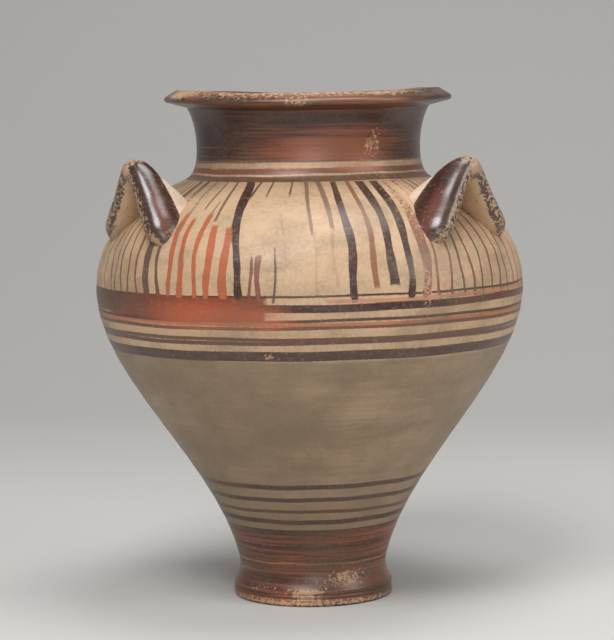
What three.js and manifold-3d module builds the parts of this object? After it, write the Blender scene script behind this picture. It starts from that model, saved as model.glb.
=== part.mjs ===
import * as THREE from 'three';
import { mergeVertices } from 'three/addons/utils/BufferGeometryUtils.js';
import Module from 'manifold-3d';

// A three-handled storage jar of fired, painted clay, in millimetres, +Z up.
// The origin is the centre of the ring that the jar stands on. The back handle is at +Y.

// Foot: a low ring with an upright edge, hollow underneath
const footHeight = 30;
const footRadius = 70.5;
const footEdgeHeight = 13.5;
const footEdgeBevel = 2;
const footGrooveCount = 2;
const footGrooveDepth = 0.8;
const footGrooveWidth = 1.8;
const footGrooveSpacing = 3.4;
const restingRingWidth = 15;
const hollowRadius = 46;

// Body: a wall that swells from the waist above the foot to the belly, and a sloping shoulder
const waistRadius = 65;
const waistLean = 12;
const waistPull = 92;
const bellyRise = 246;
const bellyRadius = 190;
const bellyPullDown = 78;
const bellyPullUp = 38;
const shoulderRise = 95.5;
const shoulderSlope = 24;
const shoulderPull = 67;
const wall = 8;
const floorThickness = 9;
const floorCorner = 10;

// Neck: waisted, from the corner at its base to the underside of the lip
const neckBaseRadius = 109.5;
const throatRadius = 99.3;
const throatRise = 26.5;
const neckBaseHollow = 4.5;
const neckRise = 63;
const neckTopRadius = 107.5;
const neckFlare = 22;

// Lip: a broad ring that turns out, with a sloped face round its crest
const lipRise = 15.5;
const lipReach = 19.8;
const lipTipRise = 7.5;
const lipTipRounding = 3;
const lipTipStart = -80;
const lipTipEnd = 60;
const lipSlopeWidth = 11;
const mouthRadius = 99;
const mouthRounding = 4;

// Wall joints: the inner half of each lower rim stands up inside the piece above
const lapHeight = 5;
const jointClearance = 0.3;

// Handles: upright loops set along the shoulder, each limb swelling towards its root.
// A turn is measured from the front, towards +X. Each root swells and leans in by its own amount.
const frontHandleTurn = 57;
const backRootThickness = 48;
const backRootLean = 12;
const leftRootThickness = 40;
const leftRootLean = 9;
const rightRootThickness = 56;
const rightRootLean = 15;
const handleInset = 20.3;
const archRise = 64.5;
const archSpread = 54;
const archCrown = 10;
const archHaunch = 20;
const archHaunchDrop = 26;
const gripThickness = 20;
const gripDepth = 19;
const rootDepth = 27;
const rootSink = 2;
const rootRounding = 16;

// Luting clay: the wedge pressed into the neck side of each root
const lutingReach = 26;
const lutingEdge = 1.5;
const lutingRise = 52;
const lutingNarrowing = 3;

// Fineness of the surfaces
const roundSegments = 48;
const wallSteps = 9;
const curveSteps = 4;
const limbSteps = 9;
const sectionSides = 14;
const lastRing = 0.995;
const sameSpot = 1e-3;
const sameHeight = 1e-6;

const handles = [
  {
    name: 'back', turn: 180, roots: ['right', 'left'],
    rootThickness: backRootThickness, rootLean: backRootLean,
  },
  {
    name: 'left', turn: -frontHandleTurn, roots: ['rear', 'front'],
    rootThickness: leftRootThickness, rootLean: leftRootLean,
  },
  {
    name: 'right', turn: frontHandleTurn, roots: ['front', 'rear'],
    rootThickness: rightRootThickness, rootLean: rightRootLean,
  },
];

const wasm = await Module();
wasm.setup();

const degrees = Math.PI / 180;
const point = (radius, height) => new THREE.Vector2(radius, height);

// Heights of the joints between the stacked pieces
const waistHeight = footHeight;
const bellyHeight = waistHeight + bellyRise;
const neckHeight = bellyHeight + shoulderRise;
const lipHeight = neckHeight + neckRise;
const crestHeight = lipHeight + lipRise;
const floorHeight = waistHeight + floorThickness;

// Turns a closed triangle list into a manifold solid
function toSolid(geometry) {
  geometry.deleteAttribute('normal');
  geometry.deleteAttribute('uv');
  const merged = mergeVertices(geometry, sameSpot);
  return new wasm.Manifold(new wasm.Mesh({
    numProp: 3,
    vertProperties: Float32Array.from(merged.attributes.position.array),
    triVerts: Uint32Array.from(merged.index.array),
  }));
}

// Turns a manifold solid back into a geometry that can be shown
function toGeometry(solid) {
  const mesh = solid.getMesh();
  const geometry = new THREE.BufferGeometry();
  geometry.setAttribute('position', new THREE.BufferAttribute(mesh.vertProperties, 3));
  geometry.setIndex(new THREE.BufferAttribute(mesh.triVerts, 1));
  geometry.computeVertexNormals();
  return geometry;
}

// Turns a profile of radius and height, closed on itself or on the axis, about +Z
function turned(profile, start = 0) {
  const closed = profile[0].x > 0 ? [...profile, profile[0]] : profile;
  return toSolid(new THREE.LatheGeometry(closed, roundSegments).rotateX(Math.PI / 2).rotateZ(start));
}

// Moves each point of an open outline sideways, to the left of its run for a positive distance
function offset(outline, distance) {
  return outline.map((here, i) => {
    const before = outline[Math.max(i - 1, 0)];
    const after = outline[Math.min(i + 1, outline.length - 1)];
    const into = here.clone().sub(before).normalize();
    const onward = after.clone().sub(here).normalize();
    const run = into.add(onward).normalize();
    return point(here.x - run.y * distance, here.y + run.x * distance);
  });
}

// The stretch of a rising outline between two heights, with a point made at each end
function between(outline, low, high) {
  const inside = outline.filter((p) => p.y > low + sameHeight && p.y < high - sameHeight);
  return [point(radiusAt(outline, low), low), ...inside, point(radiusAt(outline, high), high)];
}

// The radius of a rising outline at a height, straight on beyond its ends
function radiusAt(outline, height) {
  const last = outline.length - 2;
  const i = Math.min(Math.max(outline.findIndex((p) => p.y > height) - 1, 0), last);
  const start = outline.at(-1).y <= height ? last : i;
  const [a, b] = [outline[start], outline[start + 1]];
  return a.x + (b.x - a.x) * (height - a.y) / (b.y - a.y);
}

// The outside of the wall, from the waist to the underside of the lip
const lean = waistLean * degrees;
const slope = shoulderSlope * degrees;
const lowerWall = new THREE.CubicBezierCurve(
  point(waistRadius, waistHeight),
  point(waistRadius + waistPull * Math.sin(lean), waistHeight + waistPull * Math.cos(lean)),
  point(bellyRadius, bellyHeight - bellyPullDown),
  point(bellyRadius, bellyHeight),
).getPoints(wallSteps);
const shoulderWall = new THREE.CubicBezierCurve(
  point(bellyRadius, bellyHeight),
  point(bellyRadius, bellyHeight + bellyPullUp),
  point(neckBaseRadius + shoulderPull * Math.cos(slope), neckHeight - shoulderPull * Math.sin(slope)),
  point(neckBaseRadius, neckHeight),
).getPoints(wallSteps);
const neckFoot = new THREE.QuadraticBezierCurve(
  point(neckBaseRadius, neckHeight),
  point(throatRadius, neckHeight + neckBaseHollow),
  point(throatRadius, neckHeight + throatRise),
).getPoints(curveSteps);
const neckRunout = new THREE.QuadraticBezierCurve(
  point(throatRadius, neckHeight + throatRise),
  point(throatRadius, neckHeight + throatRise + neckFlare),
  point(neckTopRadius, lipHeight),
).getPoints(curveSteps);
const outside = [...lowerWall, ...shoulderWall.slice(1), ...neckFoot.slice(1), ...neckRunout.slice(1)];

// The inside of the wall, one wall thickness in, up to the rounded edge of the mouth
const inside = [
  ...offset(outside, wall).filter((p) => p.y > floorHeight + floorCorner && p.y < lipHeight - wall / 2),
  point(mouthRadius, crestHeight - mouthRounding),
];

// The rim of a lower piece: a ledge outside, and the standing inner half of the wall
function rimOf(height) {
  const middle = (radiusAt(outside, height) + radiusAt(inside, height)) / 2 - jointClearance / 2;
  return [point(middle, height), point(middle, height + lapHeight)];
}

// The seat of the piece above, which rests on the ledge and clears the standing half
function seatOf(height) {
  const middle = (radiusAt(outside, height) + radiusAt(inside, height)) / 2 + jointClearance / 2;
  return [point(middle, height + lapHeight + jointClearance), point(middle, height)];
}

// A ring of wall between two joints
function wallRing(low, high) {
  return turned([
    ...between(outside, low, high),
    ...rimOf(high),
    ...between(inside, low + lapHeight + jointClearance, high + lapHeight).reverse(),
    ...seatOf(low),
  ]);
}

function makeFoot() {
  const grooves = Array.from({ length: footGrooveCount }, (_, i) => {
    const middle = footEdgeHeight - (footGrooveCount - i) * footGrooveSpacing;
    return [
      point(footRadius, middle - footGrooveWidth / 2),
      point(footRadius - footGrooveDepth, middle),
      point(footRadius, middle + footGrooveWidth / 2),
    ];
  }).flat();
  const splay = new THREE.QuadraticBezierCurve(
    point(footRadius, footEdgeHeight),
    point(waistRadius, (footEdgeHeight + waistHeight) / 2),
    point(waistRadius, waistHeight),
  ).getPoints(curveSteps);
  const socket = hollowRadius + jointClearance;
  return turned([
    point(footRadius - footEdgeBevel, 0),
    point(footRadius, footEdgeBevel),
    ...grooves,
    ...splay,
    point(socket, waistHeight),
    point(socket, waistHeight - lapHeight),
    point(footRadius - restingRingWidth, 0),
  ]);
}

function makeLowerBody() {
  const innerFloorRadius = radiusAt(inside, floorHeight + floorCorner);
  const corner = new THREE.QuadraticBezierCurve(
    point(innerFloorRadius, floorHeight + floorCorner),
    point(innerFloorRadius, floorHeight),
    point(innerFloorRadius - floorCorner, floorHeight),
  ).getPoints(curveSteps);
  return turned([
    point(0, waistHeight - lapHeight),
    point(hollowRadius, waistHeight - lapHeight),
    point(hollowRadius, waistHeight),
    ...between(outside, waistHeight, bellyHeight),
    ...rimOf(bellyHeight),
    ...between(inside, floorHeight + floorCorner, bellyHeight + lapHeight).reverse(),
    ...corner.slice(1),
    point(0, floorHeight),
  ]);
}

function makeLip() {
  const tipRadius = neckTopRadius + lipReach;
  const tipHeight = lipHeight + lipTipRise;
  const tip = new THREE.EllipseCurve(
    tipRadius - lipTipRounding, tipHeight, lipTipRounding, lipTipRounding, lipTipStart * degrees, lipTipEnd * degrees,
  ).getPoints(curveSteps);
  const mouth = new THREE.EllipseCurve(
    mouthRadius + mouthRounding, crestHeight - mouthRounding,
    mouthRounding, mouthRounding, 90 * degrees, 180 * degrees,
  ).getPoints(curveSteps);
  return turned([
    point(neckTopRadius, lipHeight),
    ...tip,
    point(tipRadius - lipSlopeWidth, crestHeight),
    ...mouth,
    point(radiusAt(inside, lipHeight + lapHeight + jointClearance), lipHeight + lapHeight + jointClearance),
    ...seatOf(lipHeight),
  ]);
}

// The height of the shoulder's surface at a radius
function shoulderHeightAt(radius) {
  const turnedOver = shoulderWall.map((p) => point(p.y, -p.x));
  return radiusAt(turnedOver, -radius);
}

// The run of one limb, from the crown of the arch (0) to its buried end (1): sideways and upwards
const handleRadius = bellyRadius - handleInset;
const rootHeight = shoulderHeightAt(Math.hypot(handleRadius, archSpread)) - rootSink;
const limbRun = new THREE.CubicBezierCurve(
  point(0, rootHeight + archRise),
  point(archCrown, rootHeight + archRise),
  point(archHaunch, rootHeight + archRise - archHaunchDrop),
  point(archSpread, rootHeight),
);
const limbLength = limbRun.getLength();

// The place and half sizes of a limb at a share of its run, before its end rounds off
function limbAt(share, handle) {
  const centre = limbRun.getPoint(share);
  return {
    sideways: centre.x,
    height: centre.y,
    outwards: handleRadius - handle.rootLean * Math.sin(share * Math.PI / 2),
    run: limbRun.getTangent(share),
    halfThickness: THREE.MathUtils.lerp(gripThickness, handle.rootThickness, share) / 2,
    halfDepth: THREE.MathUtils.lerp(gripDepth, rootDepth, share) / 2,
  };
}

// How far the rounded end has closed at a share of the run: 1 before it, and 0 at the very end
function endRounding(share) {
  const toEnd = limbLength * (1 - share);
  return toEnd < rootRounding ? Math.sqrt(1 - (1 - toEnd / rootRounding) ** 2) : 1;
}

// A tube, closed at both ends, from rings of points in order
function lofted(rings) {
  const sides = rings[0].length;
  const positions = rings.flat().flatMap((p) => [p.x, p.y, p.z]);
  const triangles = [];
  for (let ring = 0; ring + 1 < rings.length; ring += 1) {
    for (let side = 0; side < sides; side += 1) {
      const next = (side + 1) % sides;
      const [a, b] = [ring * sides + side, ring * sides + next];
      triangles.push(a, b, b + sides, a, b + sides, a + sides);
    }
  }
  const last = (rings.length - 1) * sides;
  for (let side = 1; side + 1 < sides; side += 1) {
    triangles.push(0, side + 1, side, last, last + side, last + side + 1);
  }
  const geometry = new THREE.BufferGeometry();
  geometry.setAttribute('position', new THREE.Float32BufferAttribute(positions, 3));
  geometry.setIndex(triangles);
  return toSolid(geometry);
}

// One oval ring round a limb of an arch at +Y. The limb lies to +X for side 1 and to -X for side -1.
function limbRing(limb, side) {
  return Array.from({ length: sectionSides }, (_, i) => {
    const turn = i / sectionSides * 2 * Math.PI;
    const across = limb.halfDepth * Math.sin(turn);
    return new THREE.Vector3(
      side * (limb.sideways - limb.run.y * across),
      limb.outwards + limb.halfThickness * Math.cos(turn),
      limb.height + limb.run.x * across,
    );
  });
}

// A whole arch at +Y, grown all round by an amount
function archGrownBy(growth, handle) {
  const rings = [];
  for (let step = -limbSteps; step <= limbSteps; step += 1) {
    const share = Math.min(Math.abs(step) / limbSteps, lastRing);
    const limb = limbAt(share, handle);
    limb.halfThickness = limb.halfThickness * endRounding(share) + growth;
    limb.halfDepth = limb.halfDepth * endRounding(share) + growth;
    rings.push(limbRing(limb, Math.sign(step) || 1));
  }
  return lofted(rings);
}

// The luting clay on the neck side of one root, before the handle and the shoulder are cut out
function lutingWedge(side, handle) {
  const rings = [];
  for (let step = 0; step <= limbSteps; step += 1) {
    const toEnd = lutingRise * (1 - lastRing * step / limbSteps);
    const limb = limbAt(1 - toEnd / limbLength, handle);
    const reach = lutingEdge + lutingReach * (1 - toEnd / lutingRise);
    limb.halfThickness = (limb.halfThickness + reach) / 2;
    limb.outwards -= limb.halfThickness;
    limb.halfDepth -= lutingNarrowing;
    rings.push(limbRing(limb, side));
  }
  return lofted(side > 0 ? rings : rings.reverse());
}

// The outline that the jar's outside encloses, grown by the clearance, which cuts what sits on it
const enclosed = [point(0, waistHeight), ...offset(outside, -jointClearance), point(0, lipHeight)];

const paintedClay = { color: 0xb89a78, roughness: 0.55, metalness: 0 };
const darkSlip = { color: 0x3d2620, roughness: 0.35, metalness: 0 };
const redSlip = { color: 0x7a4028, roughness: 0.4, metalness: 0 };
const rawClay = { color: 0xc4a586, roughness: 0.8, metalness: 0 };

function piece(name, solid, finish) {
  const mesh = new THREE.Mesh(toGeometry(solid), new THREE.MeshStandardMaterial(finish));
  mesh.name = name;
  return mesh;
}

const group = new THREE.Group();
group.add(
  piece('foot', makeFoot(), redSlip),
  piece('lower_body', makeLowerBody(), paintedClay),
  piece('shoulder', wallRing(bellyHeight, neckHeight), paintedClay),
  piece('neck', wallRing(neckHeight, lipHeight), redSlip),
  piece('lip', makeLip(), darkSlip),
);

for (const handle of handles) {
  const place = new THREE.Group();
  place.rotation.z = handle.turn * degrees - Math.PI;
  const envelope = turned(enclosed, -place.rotation.z);
  const grownArch = archGrownBy(jointClearance, handle);
  place.add(piece(`handle_${handle.name}`, archGrownBy(0, handle).subtract(envelope), darkSlip));
  handle.roots.forEach((root, i) => {
    const wedge = lutingWedge(i === 0 ? 1 : -1, handle).subtract(grownArch).subtract(envelope);
    place.add(piece(`luting_${handle.name}_${root}`, wedge, rawClay));
  });
  group.add(place);
}

export default group;
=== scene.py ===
"""A three-handled painted pottery jar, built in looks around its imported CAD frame."""

import logging
import math
from dataclasses import dataclass, field
from enum import Enum
from typing import ClassVar, Sequence

import bpy
import numpy as np
from mathutils import Matrix, Vector


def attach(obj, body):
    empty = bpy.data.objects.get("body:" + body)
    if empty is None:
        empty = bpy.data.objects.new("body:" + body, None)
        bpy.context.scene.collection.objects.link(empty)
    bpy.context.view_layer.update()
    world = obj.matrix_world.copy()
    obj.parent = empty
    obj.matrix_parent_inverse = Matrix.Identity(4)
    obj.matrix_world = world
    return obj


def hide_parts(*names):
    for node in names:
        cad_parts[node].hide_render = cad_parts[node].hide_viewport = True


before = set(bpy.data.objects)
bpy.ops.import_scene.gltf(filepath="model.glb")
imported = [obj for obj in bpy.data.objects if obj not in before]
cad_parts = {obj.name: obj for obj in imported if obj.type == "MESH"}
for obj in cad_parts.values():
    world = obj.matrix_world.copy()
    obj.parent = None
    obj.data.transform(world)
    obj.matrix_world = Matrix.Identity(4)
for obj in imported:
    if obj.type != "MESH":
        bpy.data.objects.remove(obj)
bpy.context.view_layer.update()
LOG = logging.getLogger("jar")

MM = 0.001
Outline = np.ndarray
Pair = tuple[float, float]
Triple = tuple[float, float, float]

# The camera's side of the jar, in degrees from the front towards +X
CAMERA_TURN = 4.3

# Heights of the joints between the turned pieces, in millimetres above the floor
WAIST, BELLY, NECK, LIP, CREST = 30.0, 276.0, 371.5, 434.5, 450.0

# Radii of the turned wall, in millimetres
FOOT_RADIUS, WAIST_RADIUS, HOLLOW_RADIUS, BELLY_RADIUS = 70.5, 65.0, 46.0, 190.0
NECK_BASE_RADIUS, THROAT_RADIUS, NECK_TOP_RADIUS, MOUTH_RADIUS = 109.5, 99.3, 107.5, 99.0

# The wall, the floor inside, the roundings of its corner and of the mouth, and the tenon that sits in the
# foot, in millimetres
WALL, FLOOR_TOP, FLOOR_CORNER, MOUTH_ROUND = 8.0, 39.0, 10.0, 4.0
TENON, TENON_GAP = 5.0, 0.3

# A point farther than this from the edge of a stroke, in millimetres, counts as being this far from it
FAR = 6.0


def linear(red: float, green: float, blue: float) -> Triple:
    """Turns a display colour into scene-linear light.

    Each channel is divided by 255, moved up by 0.055, divided by 1.055 and raised to 2.4. That is the upper
    part of the screen curve, which holds for channels above 10.

    Args:
        red, green, blue: the channels as a screen shows them, above 10 and up to 255.

    Returns:
        The same colour as linear values from 0 to 1.
    """
    return tuple(((channel / 255 + 0.055) / 1.055) ** 2.4 for channel in (red, green, blue))


class Pigment(Enum):
    """The paints on the jar, as linear colours."""

    ORANGE = linear(182, 86, 48)
    RUST = linear(134, 68, 42)
    BROWN = linear(98, 60, 44)
    DARK = linear(62, 38, 35)
    PURPLE = linear(88, 54, 50)
    RED = linear(124, 62, 46)
    TAN = linear(176, 124, 78)
    SOOT = linear(30, 20, 20)


class Slot(Enum):
    """The material slots that the pieces take their finish from."""

    PAINTED_CLAY = "painted_clay"
    RED_SLIP = "red_slip"
    DARK_SLIP = "dark_slip"
    RAW_CLAY = "raw_clay"


@dataclass(frozen=True)
class Stripe:
    """A brush stroke down the shoulder.

    Attributes:
        top, bottom: its turn in degrees from the camera's side at the neck and at the belly.
        width: the stroke's width in millimetres.
        pigment: its paint.
        start, end: shares of the way down the shoulder.
        cover: how solid the paint is.
    """

    top: float
    bottom: float
    width: float
    pigment: Pigment
    start: float = 0.0
    end: float = 1.04
    cover: float = 0.9


@dataclass(frozen=True)
class Band:
    """A painted ring round the jar, or a part of one.

    Attributes:
        height, width: the ring's middle and width in millimetres.
        pigment: its paint.
        cover: how solid the paint is.
        start, end: where it starts and ends, in degrees from the camera's side.
    """

    height: float
    width: float
    pigment: Pigment
    cover: float = 0.95
    start: float = -200
    end: float = 200


@dataclass(frozen=True)
class Patch:
    """A soft-edged spot on the outside.

    Attributes:
        turn: degrees from the camera's side.
        height: millimetres above the floor.
        across, tall: its half sizes in millimetres.
        amount: what it adds to the value that it changes.
    """

    turn: float
    height: float
    across: float
    tall: float
    amount: float = 1.0


P = Pigment

# The strokes of the shoulder, from the left of the camera's side to the right
STRIPES = [
    Stripe(-95, -86, 1.8, P.BROWN), Stripe(-88, -78, 1.8, P.BROWN), Stripe(-84, -74, 1.8, P.BROWN),
    Stripe(-79, -69.5, 2.2, P.BROWN), Stripe(-74, -64.7, 2, P.BROWN), Stripe(-71, -61.7, 2.2, P.BROWN),
    Stripe(-68, -58.5, 2.2, P.BROWN), Stripe(-65, -54.6, 2.8, P.RUST), Stripe(-61, -50.6, 3.2, P.RUST),
    Stripe(-57, -46.2, 7.6, P.PURPLE), Stripe(-51, -42.4, 4.6, P.BROWN),
    Stripe(-44, -38.4, 5.2, P.ORANGE, 0.3), Stripe(-40, -34.9, 6, P.ORANGE, 0.35),
    Stripe(-34.5, -30.6, 5.4, P.ORANGE, 0.3), Stripe(-30.5, -26.6, 6.6, P.ORANGE, 0.4),
    Stripe(-25.8, -22, 7.6, P.ORANGE, 0.42), Stripe(-27, -17.7, 8, P.DARK, 0, 1.04, 1),
    Stripe(-16, -15.1, 2.6, P.RED, 0.68), Stripe(-14, -12.9, 5.6, P.RED, 0.66),
    Stripe(-9, -8.9, 1.8, P.DARK, 0.6), Stripe(-12, -5, 2, P.TAN, 0.3, 0.7, 0.3),
    Stripe(-21, -21, 2.8, P.SOOT, 0, 0.1), Stripe(-16, -15, 2.2, P.BROWN, 0, 0.09),
    Stripe(-7.5, -7, 2.2, P.BROWN, 0, 0.08), Stripe(-33, -27, 3.4, P.BROWN, 0, 0.3, 0.8),
    Stripe(-39, -32, 2.4, P.BROWN, 0, 0.2, 0.7), Stripe(-45, -38, 2.2, P.BROWN, 0, 0.16, 0.7),
    Stripe(-51, -44, 2.2, P.BROWN, 0, 0.22, 0.7), Stripe(-57, -50, 2.2, P.BROWN, 0, 0.2, 0.7),
    Stripe(-43, -38.2, 1.8, P.BROWN, 0.2, 0.4, 0.6), Stripe(-34, -30.4, 1.8, P.BROWN, 0.2, 0.4, 0.6),
    Stripe(-22.4, -22, 1.8, P.BROWN, 0.25, 0.5, 0.6), Stripe(-1.2, 1.4, 3, P.BROWN, 0, 0.42, 0.75),
    Stripe(3.8, 8, 4.4, P.BROWN, 0, 0.4, 0.75), Stripe(-1, 2.2, 2.6, P.TAN, 0.42, 0.95, 0.35),
    Stripe(4.5, 7, 3.4, P.TAN, 0.4, 0.9, 0.35), Stripe(10.4, 11.2, 6.8, P.DARK, 0, 1.04, 1),
    Stripe(17.4, 16.8, 5, P.RUST, 0, 0.9, 0.85), Stripe(23, 21.4, 8.8, P.DARK, 0, 0.88, 1),
    Stripe(30, 26, 7.8, P.DARK, 0, 1.02, 1), Stripe(36, 30.6, 9.4, P.RED, 0.12, 1.04, 0.8),
    Stripe(34.5, 34.5, 2.6, P.RUST), Stripe(40, 38.9, 3, P.RUST), Stripe(43, 42.8, 2.6, P.BROWN),
    Stripe(46.5, 46.6, 3, P.RUST), Stripe(50.5, 50.6, 2.8, P.BROWN), Stripe(55, 55.1, 3, P.RUST),
    Stripe(60, 59.5, 2.6, P.BROWN), Stripe(64, 63.4, 2.6, P.BROWN), Stripe(69, 68, 2.6, P.BROWN),
    Stripe(74, 73, 2.4, P.BROWN), Stripe(79, 78, 2.4, P.BROWN),
]

# The bands of the belly and the lower body, and the rings at the base of the neck
BANDS = [
    Band(281, 1.9, P.DARK, 1), Band(277.2, 3, P.ORANGE, 0.5, 4), Band(271.6, 6.6, P.DARK, 1, -24, 40),
    Band(271.6, 6, P.BROWN, 1, 38), Band(261, 2.6, P.DARK), Band(258, 2.6, P.ORANGE, 0.75),
    Band(255, 3, P.BROWN), Band(245.6, 3, P.BROWN), Band(242.4, 3.4, P.PURPLE), Band(231, 8.4, P.DARK),
    Band(233, 2, P.BROWN, 1), Band(272, 18.5, P.BROWN, 1, -150, -50), Band(271, 20, P.RED, 1, -66, -11),
    Band(110.2, 4.4, P.DARK, 0.85), Band(98, 4, P.DARK, 0.85), Band(86.6, 3.2, P.BROWN),
    Band(77, 4.4, P.DARK), Band(54.5, 1.3, P.ORANGE, 0.6), Band(37, 1.9, P.TAN, 0.8),
    Band(62, 0.9, P.TAN, 0.4), Band(44, 0.8, P.TAN, 0.4),
]
NECK_RINGS = [
    Band(373.9, 5, P.BROWN), Band(380.3, 4.6, P.RED), Band(382.2, 1.2, P.ORANGE),
    Band(388.2, 1.6, P.BROWN, 0.8), Band(393, 0.9, P.TAN, 0.5), Band(401, 1.1, P.TAN, 0.5, -70, 40),
    Band(409, 0.8, P.TAN, 0.35, -30, 60), Band(397, 1, P.ORANGE, 0.5, 0, 60),
]

# Where the clay is worn bare, where painted shade and painted light fall, and where the paint or the clay
# is redder than elsewhere
WORN = [
    Patch(36, 408, 8, 20, 0.42), Patch(31, 292, 10, 26, 0.6), Patch(-5, 12, 18, 6, 0.8),
    Patch(-40, 14, 20, 7, 0.4), Patch(28, 24, 30, 10, 0.6), Patch(-11, 231, 5, 3, 0.7),
    Patch(12, 238, 4, 2, 0.6), Patch(29, 236, 4, 2, 0.6), Patch(-66, 447, 26, 7, 0.75),
    Patch(-20, 450, 95, 5.5, 0.6), Patch(-4, 441, 14, 4, 0.6), Patch(40, 449, 60, 3, 0.5),
    Patch(30, 398, 9, 14, 0.35), Patch(33, 348, 13, 24, 0.5), Patch(42, 362, 18, 13, 0.75),
    Patch(-46, 356, 18, 13, 0.7), Patch(0, 3, 300, 3.5, 0.62), Patch(50, 268, 30, 8, 0.25),
]
# Painted shade under the lip and on the sides of the neck and lip; painted light, as negative amounts, on
# the front of the neck, the lip and the lower body; two darker spots low on the body
PAINTED_SHADE_AND_LIGHT = [
    Patch(-62, 408, 60, 30, 0.45), Patch(-10, 428, 110, 11, 0.4), Patch(66, 415, 44, 30, 0.45),
    Patch(18, 398, 40, 22, -0.4), Patch(70, 445, 60, 14, 0.5), Patch(-30, 50, 50, 20, 0.2),
    Patch(40, 55, 30, 14, 0.2), Patch(20, 447, 60, 12, -0.2), Patch(-75, 400, 40, 40, 0.3),
    Patch(20, 180, 60, 60, -0.15),
]
REDDENED = [
    Patch(-30, 265, 60, 15, 1.0), Patch(-10, 262, 24, 12, 0.6), Patch(72, 312, 26, 26, 0.7),
    Patch(24, 396, 36, 16, 0.55), Patch(-52, 446, 16, 10, 0.7), Patch(24, 383, 26, 4, 0.8),
]


@dataclass(frozen=True)
class Ease:
    """An amount that grows smoothly between two values.

    With s as the share of the way from low to high, kept between 0 and 1, it is the amount times s squared,
    times 3 less twice s.

    Attributes:
        low, high: where it starts to grow and where it is whole.
        amount: its whole.
    """

    low: float
    high: float
    amount: float = 1.0

    def over(self, values: np.ndarray) -> np.ndarray:
        """Gives the amount at each value of an array."""
        share = np.clip((values - self.low) / (self.high - self.low), 0, 1)
        return self.amount * (share * share * (3 - 2 * share))

    def shade(self, wire: "Wire") -> "Wire":
        """Gives the amount at a shader value, as a node of its own."""
        sockets = {0: wire, 1: self.low, 2: self.high, 4: self.amount}
        return wire.graph.node("ShaderNodeMapRange", sockets, interpolation_type="SMOOTHSTEP")


def bezier(points: Sequence[Pair], steps: int) -> Outline:
    """Samples a Bezier curve of any order.

    Each sample is the sum of the control points, weighted by the terms of share plus its rest, raised to
    the curve's order.

    Args:
        points: its control points as radius and height.
        steps: the number of steps along it.

    Returns:
        An array of steps + 1 points.
    """
    share = np.linspace(0, 1, steps + 1)[:, None]
    order = len(points) - 1
    return sum(
        math.comb(order, i) * share**i * (1 - share) ** (order - i) * np.array(point, float)
        for i, point in enumerate(points)
    )


def heights(*stretches: Triple) -> list[float]:
    """Lists heights that are even within each stretch.

    Args:
        stretches: the low end, the high end and the step of each, in millimetres.

    Returns:
        The heights, each stretch without its high end.
    """
    return [float(height) for low, high, step in stretches for height in np.arange(low, high, step)]


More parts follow.
